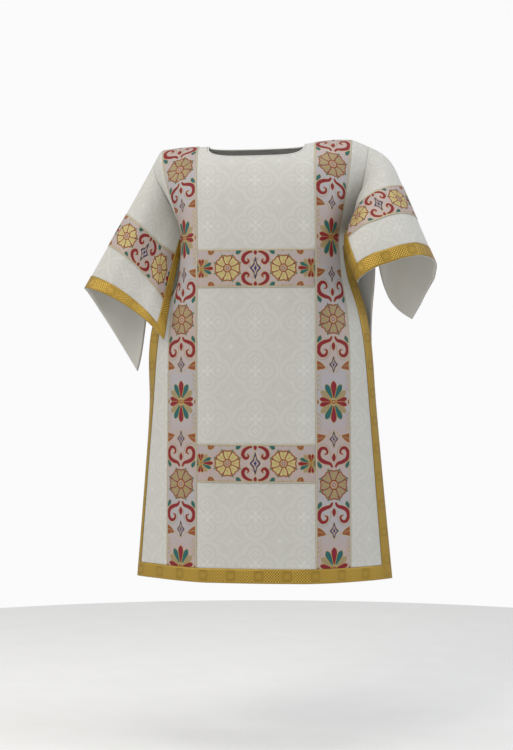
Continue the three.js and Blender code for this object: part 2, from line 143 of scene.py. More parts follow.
# The worn form. down: distance below the shoulder seam. lean: fall of the centre line,
# 0 is level. flat, inner, outer: how far the cloth has turned sideways at the end of
# the flat middle and at the two edges of the orphrey. right, left: the same at the
# braid's inner edge and at the panel's edge. shift: of the centre line. dip: which way
# the turning cloth goes, 0 is down and 90 is level.
#    down  lean flat inner outer right     left     shift dip
FORM = {
    "front": [
        (0,     13,  0,  0,   8,    60,  62,  24,  28,  -13,   0),
        (40,    26,  1,  4,  20,    72,  76,  38,  42,  -11,  14),
        (80,    43,  2,  9,  34,    84,  90,  50,  54,   -8,  32),
        (140,   65,  3, 15,  50,    90,  96,  58,  56,   -5,  58),
        (210,   78,  4, 20,  68,    92,  96,  60,  56,   -2,  78),
        (290,   85,  5, 24,  84,    92,  90,  60,  58,    0,  90),
        (390,   88,  5, 24,  78,    88,  90,  56,  60,    1,  90),
        (480,   89,  5, 22,  54,    54,  46,  54,  66,    1,  90),
        (560,   88,  5, 22,  42,    52,  38,  52,  72,    1,  90),
        (700,   88,  5, 22,  39,    50,  78,  50,  80,    2,  90),
        (900,   87,  5, 22,  37,    44, 108,  48,  74,    3,  90),
        (LENGTH, 86, 5, 22,  36,    38, 118,  46,  60,    5,  90),
    ],
    "back": [
        (0,     13,  0,  0,   8,    60,  62,  24,  28,  -13,   0),
        (40,    28,  1,  4,  20,    58,  60,  32,  36,  -11,  14),
        (80,    44,  2,  6,  26,    52,  54,  36,  40,   -8,  32),
        (140,   64,  3,  8,  28,    42,  44,  36,  38,   -5,  58),
        (210,   80,  4, 10,  30,    36,  38,  34,  36,   -2,  78),
        (290,   88,  5, 11,  32,    36,  38,  36,  38,    0,  90),
        (390,   91,  5, 13,  38,    42,  50,  44,  50,    1,  90),
        (480,   91,  5, 15,  44,    50,  62,  52,  62,    1,  90),
        (560,   90,  5, 17,  46,    54,  64,  55,  66,    1,  90),
        (700,   89,  5, 18,  44,    54,  64,  56,  66,    2,  90),
        (900,   88,  5, 18,  42,    50,  62,  54,  64,    3,  90),
        (LENGTH, 87, 5, 18,  40,    48,  60,  52,  62,    5,  90),
    ],
}
# The shoulder line rises towards the raised arm, and the rise dies out below it.
SHOULDER_RISE = [(-300, -4), (-238, -4), (-124, -2), (0, -2), (124, 1), (190, 10), (238, 14), (300, 16)]
RISE_ENDS = 260
# Soft folds pressed into the hanging cloth: across, from, to, width, height, slant.
FOLDS = {
    "front": [
        (-96, 60, 560, 15, 2.2, 0.02), (-52, 120, 760, 20, 1.6, -0.03), (4, 95, 520, 22, -1.5, 0.01),
        (58, 110, 620, 17, 1.8, 0.03), (112, 70, 380, 13, -1.6, 0.02), (-20, 520, 1180, 26, 1.8, 0.04),
        (70, 640, 1200, 24, -1.8, 0.02), (-104, 600, 1200, 20, 1.6, -0.04), (272, 560, 1180, 14, 2.4, 0.06),
        (-276, 560, 1180, 14, 2.4, -0.06), (270, 90, 420, 10, -2.0, 0.03), (-264, 60, 330, 11, 1.6, -0.02),
    ],
    "back": [
        (-80, 60, 700, 22, 2.4, -0.03), (10, 90, 1190, 28, 2.6, 0.01), (92, 60, 760, 22, 2.2, 0.04),
        (-40, 560, 1200, 24, -2.2, 0.02), (60, 640, 1200, 22, -2.0, -0.02), (285, 480, 1190, 18, 3.0, 0.05),
        (-285, 480, 1190, 18, 3.0, -0.05), (-255, 120, 520, 18, -2.0, -0.04), (255, 120, 520, 18, -2.0, 0.04),
    ],
}


def smooth(rows, x, column):
    """A value from a table of rows, on a smooth curve through them."""
    last = len(rows) - 1
    if x <= rows[0][0]:
        return rows[0][column]
    if x >= rows[last][0]:
        return rows[last][column]
    k = 0
    while rows[k + 1][0] <= x:
        k += 1
    a, b = rows[k], rows[k + 1]
    before, after = rows[max(k - 1, 0)], rows[min(k + 2, last)]
    step = b[0] - a[0]
    t = (x - a[0]) / step
    m0 = (b[column] - before[column]) / (b[0] - before[0]) * step
    m1 = (after[column] - a[column]) / (after[0] - a[0]) * step
    return ((2 * t ** 3 - 3 * t ** 2 + 1) * a[column] + (t ** 3 - 2 * t ** 2 + t) * m0
            + (3 * t ** 2 - 2 * t ** 3) * b[column] + (t ** 3 - t ** 2) * m1)


def turned(knots, distance):
    """Where a point at this distance ends up on a strip whose angle is given at knots."""
    along = drop = 0.0
    for k in range(len(knots) - 1):
        (start, a), (end, b) = knots[k], knots[k + 1]
        part = (distance if k == len(knots) - 2 else min(distance, end)) - start
        if part <= 0:
            break
        change = (b - a) * part / (end - start)
        if abs(change) < 1e-6:
            along += part * math.cos(a)
            drop += part * math.sin(a)
        else:
            along += part / change * (math.sin(a + change) - math.sin(a))
            drop += part / change * (math.cos(a) - math.cos(a + change))
    return along, drop


def panel_half(v):
    """Half the width of a panel at a distance below the shoulder."""
    if v < ARMHOLE:
        return SHOULDER_HALF + (ARMPIT_HALF - SHOULDER_HALF) * v / ARMHOLE
    return ARMPIT_HALF + (HEM_HALF - ARMPIT_HALF) * (v - ARMHOLE) / (LENGTH - ARMHOLE)


STEP = 5
CENTRE = {}
for side, facing in (("front", -1), ("back", 1)):
    line = [(0.0, 0.0)]
    for k in range(LENGTH // STEP + 4):
        lean = math.radians(smooth(FORM[side], (k + 0.5) * STEP, 1))
        line.append((line[-1][0] + facing * math.cos(lean) * STEP, line[-1][1] - math.sin(lean) * STEP))
    CENTRE[side] = line


@lru_cache(maxsize=60000)
def section(side, v):
    """What all points at one distance below the shoulder share."""
    form = FORM[side]
    k = min(max(int(v // STEP), 0), len(CENTRE[side]) - 2)
    t = v / STEP - k
    (y0, z0), (y1, z1) = CENTRE[side][k], CENTRE[side][k + 1]
    angles = [math.radians(smooth(form, v, c)) for c in range(2, 9)]
    half = panel_half(v)
    strips = {}
    for sign, a, b in ((-1, angles[3], angles[4]), (1, angles[5], angles[6])):
        strips[sign] = [(0, 0.0), (110, angles[0]), (CLAVUS_IN, angles[1]), (CLAVUS_OUT, angles[2]),
                        (half - GALLOON, a), (half, b)]
    dip = math.radians(smooth(form, v, 10))
    return (y0 + (y1 - y0) * t, z0 + (z1 - z0) * t, smooth(form, v, 9), math.sin(dip), math.cos(dip), strips)


def on_panel(side, w, v):
    """A point of a panel: w across the cloth from its middle, v down it."""
    y, z, shift, sine, cosine, strips = section(side, v)
    across, inward = turned(strips[-1 if w < 0 else 1], abs(w))
    k = 0
    while k < len(SHOULDER_RISE) - 2 and SHOULDER_RISE[k + 1][0] < w:
        k += 1
    (w0, r0), (w1, r1) = SHOULDER_RISE[k], SHOULDER_RISE[k + 1]
    rise = (r0 + (r1 - r0) * min(max((w - w0) / (w1 - w0), 0), 1)) * max(0.0, 1 - v / RISE_ENDS)
    facing = -1 if side == "front" else 1
    return Vector((shift + math.copysign(across, w), y - facing * inward * sine, z - inward * cosine + rise))


def panel_cloth(side, w, v, lift=0.0):
    """The same in metres, with the soft folds, raised this far off the cloth's outer face."""
    right = on_panel(side, w + 1, v) - on_panel(side, w - 1, v)
    down = on_panel(side, w, v + 2) - on_panel(side, w, max(v - 2, 0))
    out = down.cross(right if side == "front" else -right).normalized()
    if v < 8:  # the two panels share one direction at the shoulder seam
        out = Vector((out.x, out.y * v / 8, out.z)).normalized()
    fold = 0.0
    for at, start, end, width, height, slant in FOLDS[side]:
        if start < v < end:
            fade = math.sin(math.pi * (v - start) / (end - start)) if end < LENGTH else math.sin(
                math.pi / 2 * min((v - start) / (0.6 * (end - start)), 1))
            fold += height * fade * math.exp(-((w - at - slant * (v - start)) / width) ** 2)
    fold *= min(1, max(0, panel_half(v) - abs(w)) / 25) if v < ARMHOLE + 40 else 1
    return (on_panel(side, w, v) + out * (fold + lift)) / 1000


def piece(name, mesh, *materials):
    """A finished mesh as an object of the garment."""
    for material in materials:
        mesh.materials.append(material)
    mesh.shade_smooth()
    made = bpy.data.objects.new(name, mesh)
    bpy.context.collection.objects.link(made)
    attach(made, "root")
    return made


def laid(name, wide, high, place, thickness, *materials):
    """A woven piece: a flat net laid on the worn form. place gives, for a share of the
    width and of the height, the point's place and its spot on the flat cloth."""
    net = bmesh.new()
    bmesh.ops.create_grid(net, x_segments=wide, y_segments=high, size=1)
    flat = net.loops.layers.uv.new("flat_cloth")
    spots = {}
    for vert in net.verts:
        vert.co, spots[vert] = place((vert.co.x + 1) / 2, (1 - vert.co.y) / 2)
    for face in net.faces:
        for loop in face.loops:
            u, v = spots[loop.vert]
            loop[flat].uv = (u / 1000, v / 1000)
    mesh = bpy.data.meshes.new(name)
    net.to_mesh(mesh)
    net.free()
    made = piece(name, mesh, *materials)
    wall = made.modifiers.new("wall", "SOLIDIFY")
    wall.thickness = thickness / 1000
    wall.offset = -1
    wall.material_offset = len(materials) - 1
    return made


# Silk damask: one white thread, figured by turning satin into matt twill. The
# satin figure is glossier and painted a little lighter than the ground, a painted sheen,
# so the quatrefoils are only just seen. 117 mm between medallions, with double outlines 4 mm apart.
damask, tree = finish("silk_damask")
flat = put(tree, "UVMap", uv_map="flat_cloth")
spread = put(tree, "SeparateXYZ", [flat], 0)
across = spread
down = spread.node.outputs[1]
PITCH = 0.117
x = put(tree, "Math", [across, PITCH / 2], operation="PINGPONG")
y = put(tree, "Math", [put(tree, "Math", [down, -0.040], operation="ADD"), PITCH / 2], operation="PINGPONG")
long = put(tree, "Math", [x, y], operation="MAXIMUM")
short = put(tree, "Math", [x, y], operation="MINIMUM")
folded = put(tree, "CombineXYZ", [long, short])
lobe = put(tree, "VectorMath", [folded, (0.027, 0, 0)], 1, operation="DISTANCE")


def line(tree, distance, at, width, soft=0.0006):
    """1 on a line of this width where the distance has this value, with a soft edge."""
    off = put(tree, "Math", [put(tree, "Math", [distance, at], operation="SUBTRACT")], operation="ABSOLUTE")
    return put(tree, "MapRange", [off, width / 2 + soft, width / 2 - soft, 0.0, 1.0],
               interpolation_type="SMOOTHSTEP")


figure = line(tree, lobe, 0.0295, 0.0018)
for part in (
    line(tree, lobe, 0.0252, 0.0014),
    line(tree, lobe, 0.0150, 0.0014),
    line(tree, lobe, 0.0118, 0.0010),
):
    figure = put(tree, "Math", [figure, part], operation="MAXIMUM")
# Petals of the rosette in each lobe, and of the one at the medallion's middle.
for centre, reach, size in (((0.027, 0, 0), 0.0042, 0.0026), ((0, 0, 0), 0.0080, 0.0048)):
    local = put(tree, "VectorMath", [put(tree, "VectorMath", [folded, centre], operation="SUBTRACT")],
                operation="ABSOLUTE")
    pair = put(tree, "SeparateXYZ", [local]).node
    a = put(tree, "Math", [pair.outputs[0], pair.outputs[1]], operation="MAXIMUM")
    b = put(tree, "Math", [pair.outputs[0], pair.outputs[1]], operation="MINIMUM")
    petal = put(tree, "VectorMath", [put(tree, "CombineXYZ", [a, b]), (reach, 0, 0)], 1, operation="DISTANCE")
    petal = put(tree, "MapRange", [petal, size, size - 0.0008, 0.0, 1.0], interpolation_type="SMOOTHSTEP")
    figure = put(tree, "Math", [figure, petal], operation="MAXIMUM")
# Pointed stars in the spaces between the medallions, outlined, with a small round boss.
from_corner = put(tree, "VectorMath", [(PITCH / 2, PITCH / 2, 0), put(tree, "CombineXYZ", [x, y])],
                  operation="SUBTRACT")
corner = put(tree, "SeparateXYZ", [from_corner]).node
roots = [put(tree, "Math", [corner.outputs[k], 0.5], operation="POWER") for k in (0, 1)]
star = put(tree, "Math", roots, operation="ADD")
star = put(tree, "Math", [star, 2.0], operation="POWER")
boss = put(tree, "VectorMath", [from_corner], 1, operation="LENGTH")
for part in (line(tree, star, 0.0440, 0.0030), line(tree, star, 0.0360, 0.0022), line(tree, boss, 0.0080, 0.0014),
             put(tree, "MapRange", [boss, 0.0045, 0.0038, 0.0, 1.0])):
    figure = put(tree, "Math", [figure, part], operation="MAXIMUM")
# Thread: 0.5 mm in life, drawn at 1 mm so that it still shows close up.
warp = put(tree, "TexWave", {"Vector": flat, "Scale": 0.314 / 0.0010, "Distortion": 0.6, "Detail": 1.0},
           1, bands_direction="DIAGONAL")
slub = put(tree, "TexNoise", {"Vector": flat, "Scale": 60.0, "Detail": 5.0, "Roughness": 0.6})
cloud = put(tree, "TexNoise", {"Vector": flat, "Scale": 7.0, "Detail": 2.0})
ground = put(tree, "Mix", {0: cloud, 6: linear("#bcbbb3"), 7: linear("#c1c0b9")}, 2, data_type="RGBA")
# The satin figure's colour is the same white painted a little lighter: a painted sheen.
satin_painted_sheen = put(tree, "Mix", {0: cloud, 6: linear("#c7c6bf"), 7: linear("#cccbc5")}, 2, data_type="RGBA")
silk = put(tree, "Mix", {0: figure, 6: ground, 7: satin_painted_sheen}, 2, data_type="RGBA")
silk = put(tree, "Mix", {0: 0.10, 6: silk, 7: slub}, 2, data_type="RGBA", blend_type="SOFT_LIGHT")
gloss = put(tree, "MapRange", [figure, 0.0, 1.0, 0.66, 0.48])
height = put(tree, "Math", [put(tree, "Math", [warp, 0.25], operation="MULTIPLY"), figure], operation="ADD")
height = put(tree, "Math", [slub, 0.5, height], operation="MULTIPLY_ADD")
relief = put(tree, "Bump", {"Strength": 0.30, "Distance": 0.0003, "Height": height})
surface = put(tree, "BsdfPrincipled", {
    "Base Color": silk, "Roughness": gloss, "Normal": relief, "Sheen Weight": 0.18, "Sheen Roughness": 0.4,
    "Specular IOR Level": 0.4})
put(tree, "OutputMaterial", [surface])

# Lining: plain-woven off-white sateen, smooth and faintly ribbed by its weft.
lining, tree = finish("sateen_lining")
flat = put(tree, "UVMap", uv_map="flat_cloth")
weft = put(tree, "TexWave", {"Vector": flat, "Scale": 0.314 / 0.0012, "Distortion": 1.0, "Detail": 2.0},
           1, bands_direction="Y")
cloud = put(tree, "TexNoise", {"Vector": flat, "Scale": 14.0, "Detail": 3.0})
tone = put(tree, "Mix", {0: cloud, 6: linear("#c9c8c1"), 7: linear("#d2d1cb")}, 2, data_type="RGBA")
relief = put(tree, "Bump", {"Strength": 0.2, "Distance": 0.0002, "Height": weft})
surface = put(tree, "BsdfPrincipled", {
    "Base Color": tone, "Roughness": 0.5, "Normal": relief, "Sheen Weight": 0.15, "Sheen Roughness": 0.4})
put(tree, "OutputMaterial", [surface])


# The neckline is a wide curve with full corners. Columns crowd towards its corners,
# and the rows below it ease back to level.
NECK_LEVEL = 122
neck_columns = [NECK_HALF * math.sqrt(math.cos(math.radians(90 * (1 - k / 16)))) for k in range(17)]


def neck_depth(side, w):
    """How deep the neckline is cut at this distance from the middle."""
    t = min(abs(w) / NECK_HALF, 1)
    return NECK_DEPTH[side] * (1 - t ** 4) ** 0.25


def panel_columns():
    """Columns from the middle to the edge: fixed ones, then shares of what is left."""
    fixed = neck_columns + [NECK_HALF + 7 * k for k in range(1, 17)]
    return fixed, 18


fixed, loose = panel_columns()
half_columns = len(fixed) - 1 + loose
panel_rows = [0.15] + [5 * k for k in range(1, 59)] + [290 + 845 * k / 130 for k in range(1, 131)]


def panel_place(side):
    def place(s, t):
        c = round((s * 2 - 1) * half_columns) * (1 if side == "front" else -1)
        v = panel_rows[round(t * (len(panel_rows) - 1))]
        k = abs(c)
        if k < len(fixed):
            w = fixed[k]
        else:
            w = fixed[-1] + (panel_half(v) - SEAM - fixed[-1]) * (k - len(fixed) + 1) / loose
        if w < NECK_HALF and v < NECK_LEVEL:
            top = neck_depth(side, w)
            v = top + (NECK_LEVEL - top) * v / NECK_LEVEL
        w = math.copysign(w, c)
        return panel_cloth(side, w, v), (w, v)
    return place


for side, area in (("front", 0.7175), ("back", 0.7305)):
    laid(f"{side}_cloth", half_columns * 2, len(panel_rows) - 1, panel_place(side), CLOTH,
                        damask, lining)
    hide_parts(f"{side}_panel")


# ---- The sleeves
# Each is a flat trapezoid of the same damask folded over the arm, sewn to the two
# panels round the armhole and left open underneath. Its plain lining is bagged out
# with it. The right sleeve hangs by the body; the left one goes round a raised arm.
SLEEVE = 357           # length along the top fold
SLEEVE_HALF = 285      # half the width of the opened-out sleeve
SLANT = 124            # how far the head is cut back under the arm
# drop: fall of the top fold at the shoulder and beyond. forward: its turn to the front.
# front, back: how far the cloth has turned down at each distance from the top fold.
# sag: the share of that turn that goes straight down, for front and back, at the
# armhole and at the hem. gather: how much more it turns down at the armhole. bow: how
# much less of it goes straight down near the top fold, at the hem.
ARMS = {
    "right": dict(
        side=-1, drop=(61, 62), forward=7, bend=90, sag=((0.75, 0.1), (0.85, 0.5)), gather=(0, 0.4),
        bow=(0.38, 0),
        front=[(0, 0), (50, 56), (110, 84), (200, 85), (SLEEVE_HALF, 82)],
        back=[(0, 0), (60, 38), (120, 66), (SLEEVE_HALF, 76)]),
    "left": dict(
        side=1, drop=(24, 67), forward=16, bend=110, sag=((0, 0), (0.7, 0.2)), gather=(0, 1.3),
        bow=(0, 0),
        front=[(0, 0), (70, 30), (130, 60), (210, 92), (250, 130), (SLEEVE_HALF, 168)],
        back=[(0, 0), (60, 16), (120, 26), (SLEEVE_HALF, 32)]),
}
# Drapes in the sleeves: round the arm, along from, to, width, height, slant.
DRAPES = {
    "right": [(60, -40, 420, 22, 2.4, 0.10), (135, -40, 420, 26, -2.4, 0.12), (205, 40, 420, 20, 2.0, 0.05),
              (-70, -40, 420, 26, 2.4, -0.10), (-150, 0, 420, 26, -2.2, -0.08)],
    "left": [(45, -60, 420, 18, 2.2, 0.12), (105, -60, 420, 20, -2.6, 0.16), (170, -40, 420, 18, 2.4, 0.10),
             (-60, -40, 420, 24, 2.4, -0.10), (-150, 0, 420, 26, -2.2, -0.08)],
}


@lru_cache(maxsize=20000)
def heading(arm, r):
    """The way the top fold of a sleeve runs at a distance from the shoulder."""
    a = ARMS[arm]
    t = min(max(r / a["bend"], 0), 1)
    f = t * t * (3 - 2 * t)
    fall = math.radians(a["drop"][0] + (a["drop"][1] - a["drop"][0]) * f)
    turn = math.radians(a["forward"] * f)
    return Vector((a["side"] * math.cos(fall) * math.cos(turn), -math.sin(turn), -math.sin(fall) * math.cos(turn)))


def on_armhole(arm, q):
    """A point of an armhole: q is 0 at the shoulder, 1 at its low end in front, -1 behind."""
    v = ARMHOLE * abs(q)
    return on_panel("front" if q >= 0 else "back", ARMS[arm]["side"] * panel_half(v), v)


for arm, a in ARMS.items():
    a["fold"] = [on_armhole(arm, 0)]
    for k in range(SLEEVE // STEP + 5):
        a["fold"].append(a["fold"][-1] + heading(arm, (k + 0.5) * STEP) * STEP)


def hanging(arm, r, q):
    """A point of a sleeve that hangs free: r along the top fold, q round from it."""
    a = ARMS[arm]
    head = SLANT * abs(q)
    half = 0 if q >= 0 else 1
    s = (r - head) / (SLEEVE - head)
    share = a["sag"][half][0] + (a["sag"][half][1] - a["sag"][half][0]) * s - a["bow"][half] * s * (1 - abs(q))
    more = 1 + a["gather"][half] * (1 - s)
    k = min(max(int(r // STEP), 0), len(a["fold"]) - 2)
    way = heading(arm, r)
    fore = Vector((0, -1 if q >= 0 else 1, 0))
    fore = (fore - way * fore.dot(way)).normalized()
    down = way.cross(fore)
    if down.z > 0:
        down = -down
    down = down.lerp(Vector((0, 0, -1)), share).normalized()
    knots = [(at, math.radians(angle * more)) for at, angle in a["front" if q >= 0 else "back"]]
    along, drop = turned(knots, abs(q) * SLEEVE_HALF)
    return a["fold"][k].lerp(a["fold"][k + 1], r / STEP - k) + fore * along + down * drop


@lru_cache(maxsize=20000)
def pull(arm, q):
    """How far the seam draws the sleeve's head from where it would hang."""
    return on_armhole(arm, q) - hanging(arm, SLANT * abs(q), q)


def on_sleeve(arm, s, q):
    """A point of the sewn sleeve: s is 0 at the armhole and 1 at the hem."""
    head = SLANT * abs(q)
    return hanging(arm, head + s * (SLEEVE - head), q) + pull(arm, q) * max(0.0, 1 - s) ** 2.5


def sleeve_cloth(arm, r, q, lift=0.0):
    """The point at r along the sleeve and q round it in metres, raised off the outer face."""
    head = SLANT * abs(q)
    s = max((r - head) / (SLEEVE - head), 0)
    e = 0.004
    right = (on_sleeve(arm, s, q + e) - on_sleeve(arm, s, q - e)) * -ARMS[arm]["side"]
    down = on_sleeve(arm, s + e, q) - on_sleeve(arm, max(s - e, 0), q)
    out = down.cross(right).normalized()
    fold = 0.0
    for at, start, end, width, height, slant in DRAPES[arm]:
        if start < r < end:
            fade = math.sin(math.pi / 2 * min((r - start) / (0.6 * (end - start)), 1))
            fold += height * fade * math.exp(-((q * SLEEVE_HALF - at - slant * (r - start)) / width) ** 2)
    return (on_sleeve(arm, s, q) + out * (fold * min(1, s * 4) + lift)) / 1000


def round_from(arm, s):
    """q for a share of the way across a sleeve as it is seen from outside."""
    return (1 - 2 * s) * ARMS[arm]["side"]


for arm in ARMS:
    def sleeve_place(s, t, arm=arm):
        q = round_from(arm, s) * (1 - SEAM / SLEEVE_HALF)
        head = SLANT * abs(q) + SEAM
        r = head + (SLEEVE - head) * t
        return sleeve_cloth(arm, r, q), (q * SLEEVE_HALF, r)

    def lining_place(s, t, arm=arm):
        q = round_from(arm, s) * 0.994
        head = SLANT * abs(q)
        start = head + (141 - head) * 0.45
        r = start + (SLEEVE - 1.5 - start) * t
        return sleeve_cloth(arm, r, q, -CLOTH - 0.3), (q * SLEEVE_HALF, r)

    sleeve = laid(f"{arm}_sleeve_cloth", 110, 66, sleeve_place, CLOTH, damask)
    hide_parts(f"sleeve_{arm}")
    inside = laid(f"{arm}_sleeve_inside", 110, 50, lining_place, 1.0, lining)
    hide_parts(f"sleeve_lining_{arm}")


# ---- The orphreys
# Bands of figured silk 94 mm wide, brocaded in crimson, gold, teal, blue and rust on a
# silver-pink ground. Two uprights run over the shoulders to the hem of each panel, with
# two cross bands between them, and one band goes round each sleeve. The design is a
# plain one of rosettes, palmettes, lozenges and scrolls. Each long edge has a fine cord.
ORPHREY = 94
TRIM = 1.0             # thickness of the band
GAP = 0.3              # its clearance over the damask
CROSS_BANDS = {"upper": (330, 424), "lower": (801, 895)}
SLEEVE_BAND = (141, 235)
REPEAT = 400           # one drop of the upright design

# Each silk is a brocading thread on the same band, so all share one diagonal twill,
# drawn at 1.4 mm between ribs so that it shows. Gold and silver threads are a fine
# metal strip round a silk core, so they gleam more than the dyed ones.
SILKS = {
    "silver_ground": ("#b0aeb1", "#b8a69e", 0.12, 0.52),
    "crimson_silk": ("#720f20", "#87182c", 0.0, 0.60),
    "gold_thread": ("#957c2f", "#bea552", 0.40, 0.42),
    "pale_gold_thread": ("#8c7c5c", "#a29372", 0.25, 0.48),
    "teal_silk": ("#174f52", "#236464", 0.0, 0.60),
    "blue_silk": ("#161d50", "#242c66", 0.0, 0.60),
    "rust_silk": ("#7c3c1c", "#93532b", 0.0, 0.60),
    "rose_silk": ("#a08e80", "#b09c8e", 0.05, 0.55),
    "cream_cord": ("#aaa490", "#bab4a1", 0.0, 0.60),
    "straw_silk": ("#ab9c66", "#c3b67e", 0.10, 0.55),
}
silks = []
for name, (dark, light, metal, rough) in SILKS.items():
    material, tree = finish(name)
    flat = put(tree, "UVMap", uv_map="flat_cloth")
    twill = put(tree, "TexWave", {"Vector": flat, "Scale": 0.314 / 0.0014, "Distortion": 0.5, "Detail": 1.0},
                1, bands_direction="DIAGONAL")
    slub = put(tree, "TexNoise", {"Vector": flat, "Scale": 420.0, "Detail": 3.0, "Roughness": 0.7})
    blend = put(tree, "MapRange", [slub, 0.32, 0.68, 0.0, 1.0])
    if name == "silver_ground":  # its tint turns slowly from silver to rose down the band
        down = put(tree, "SeparateXYZ", [flat]).node.outputs[1]
        turn = put(tree, "Math", [put(tree, "Math", [down, 2 * math.pi / 0.268, 1.2], operation="MULTIPLY_ADD")],
                   operation="SINE")
        turn = put(tree, "MapRange", [turn, -0.6, 0.8, 0.0, 0.8])
        blend = put(tree, "Math", [blend, 0.25, turn], operation="MULTIPLY_ADD", use_clamp=True)
    tone = put(tree, "Mix", {0: blend, 6: linear(dark), 7: linear(light)}, 2, data_type="RGBA")
    if name == "silver_ground":  # with a fine mauve rib across it, drawn at 3 mm
        rib = put(tree, "TexWave", {"Vector": flat, "Scale": 0.314 / 0.0030, "Distortion": 2.0, "Detail": 2.0},
                  1, bands_direction="DIAGONAL")
        rib = put(tree, "Math", [rib, 0.36], operation="MULTIPLY")
        tone = put(tree, "Mix", {0: rib, 6: tone, 7: linear("#7d7480")}, 2, data_type="RGBA")
    height = put(tree, "Math", [slub, 0.6, twill], operation="MULTIPLY_ADD")
    relief = put(tree, "Bump", {"Strength": 0.35, "Distance": 0.0003, "Height": height})
    surface = put(tree, "BsdfPrincipled", {
        "Base Color": tone, "Metallic": metal, "Roughness": rough, "Normal": relief,
        "Specular IOR Level": 0.35})
    put(tree, "OutputMaterial", [surface])
    silks.append(material)
GROUND, CRIMSON, GOLD, PALE, TEAL, BLUE, RUST, ROSE, CREAM, STRAW = range(10)


def curve(points, closed, steps=5):
    """Points on a smooth line through these."""
    n = len(points)
    made = []
    for k in range(n if closed else n - 1):
        near = [(k + j) % n if closed else min(max(k + j, 0), n - 1) for j in (-1, 0, 1, 2)]
        a, b, c, d = (Vector(points[j]) for j in near)
        for j in range(steps):
            t = j / steps
            made.append(0.5 * (2 * b + (c - a) * t + (2 * a - 5 * b + 4 * c - d) * t * t
                               + (3 * b - a - 3 * c + d) * t ** 3))
    if not closed:
        made.append(Vector(points[-1]))
    return made


class Figures:
    """The flat drawing of a band: filled shapes in painter's order, mirrored about x = 0."""

    def __init__(self):
        self.shapes = []

    def fill(self, silk, outline, mirror=True):
        self.shapes.append((silk, [(p[0], p[1]) for p in outline]))
        if mirror:
            self.shapes.append((silk, [(-p[0], p[1]) for p in outline]))

    def leaf(self, silk, points, mirror=True, rim=None, width=1.0):
        """A smooth closed shape, with a rim in another silk."""
        outline = curve(points, True)
        if rim is not None:
            sense = 1 if sum(a.cross(b) for a, b in zip(outline, outline[1:] + outline[:1])) > 0 else -1
            wide = []
            for k, p in enumerate(outline):
                way = (outline[(k + 1) % len(outline)] - outline[k - 1]).normalized()
                wide.append(p + Vector((way.y, -way.x)) * width * sense)
            self.fill(rim, wide, mirror)
        self.fill(silk, outline, mirror)

    def stem(self, silk, points, widths, mirror=True, rim=None, width=0.9, steps=5):
        """A ribbon along a smooth line, its width given at even steps."""
        spine = curve(points, False, steps)
        if rim is not None:
            self.ribbon(rim, spine, [w + 2 * width for w in widths], mirror)
        self.ribbon(silk, spine, widths, mirror)

    def ribbon(self, silk, spine, widths, mirror):
        edges = []
        for k, p in enumerate(spine):
            at = k / (len(spine) - 1) * (len(widths) - 1)
            j = min(int(at), len(widths) - 2)
            half = (widths[j] + (widths[j + 1] - widths[j]) * (at - j)) / 2
            way = (spine[min(k + 1, len(spine) - 1)] - spine[max(k - 1, 0)]).normalized()
            side = Vector((way.y, -way.x)) * max(half, 0.15)
            edges.append((p - side, p + side))
        for (a, b), (c, d) in zip(edges, edges[1:]):
            self.fill(silk, (a, b, d, c), mirror)

    def dot(self, silk, x, y, radius, mirror=True, sides=8):
        ring = [(x + radius * math.cos(math.tau * k / sides), y + radius * math.sin(math.tau * k / sides))
                for k in range(sides)]
        self.fill(silk, ring, mirror)


def set_down(points, x, y, turn=0.0, scale=1.0):
    """The points scaled, turned by so many degrees, and moved to x, y."""
    c, s = (scale * wave(math.radians(turn)) for wave in (math.cos, math.sin))
    return [(x + px * c - py * s, y + px * s + py * c) for px, py in points]


def rosette(draw, x, y, radius, body):
    """Eight notched petals round a seed head, with a sepal between each two."""
    petal = [(0.24, 0), (0.42, 0.17), (0.70, 0.27), (0.94, 0.24), (0.88, 0)]
    petal += [(px, -py) for px, py in reversed(petal[1:4])]
    sepal = [(0.80, 0), (0.98, 0.09), (1.16, 0), (0.98, -0.09)]
    vein = [(0.40, 0), (0.60, 0.035), (0.78, 0), (0.60, -0.035)]
    turns = [45 * k for k in range(8)]
    for turn in turns:
        draw.leaf(TEAL, set_down(sepal, x, y, turn + 22.5, radius), False, rim=GOLD, width=0.8)
    for turn in turns:
        draw.leaf(GOLD, set_down(petal, x, y, turn, radius), False, rim=GOLD, width=3.2)
    for turn in turns:
        draw.leaf(body, set_down(petal, x, y, turn, radius), False, rim=CRIMSON, width=2.3)
    for turn in turns:
        draw.leaf(GOLD, set_down(vein, x, y, turn, radius), False)
    for silk, share in ((CRIMSON, 0.34), (GOLD, 0.27), (ROSE, 0.22)):
        draw.dot(silk, x, y, share * radius, False, 14)
    for px, py in [set_down([(0.12 * radius, 0)], x, y, 60 * k)[0] for k in range(6)]:
        draw.dot(CRIMSON, px, py, 0.045 * radius, False, 6)


def palmette(draw, x, y, turn, reach):
    """A fan of seven leaves spread from one point towards turn, and a gold knot there."""
    leaf = [(0.18, 0), (0.50, 0.10), (0.82, 0.14), (1.0, 0), (0.82, -0.14), (0.50, -0.10)]
    for k in (-3, 3, -2, 2, -1, 1, 0):
        silk, share = ((CRIMSON, 1.0), (TEAL, 0.93), (PALE, 0.84), (CRIMSON, 0.74))[abs(k)]
        draw.leaf(silk, set_down(leaf, x, y, turn + 26 * k, share * reach), False, rim=GOLD, width=1.1)
    for silk, radius in ((GOLD, 0.15), (CRIMSON, 0.10), (STRAW, 0.05)):
        draw.dot(silk, x, y, radius * reach, False, 12)


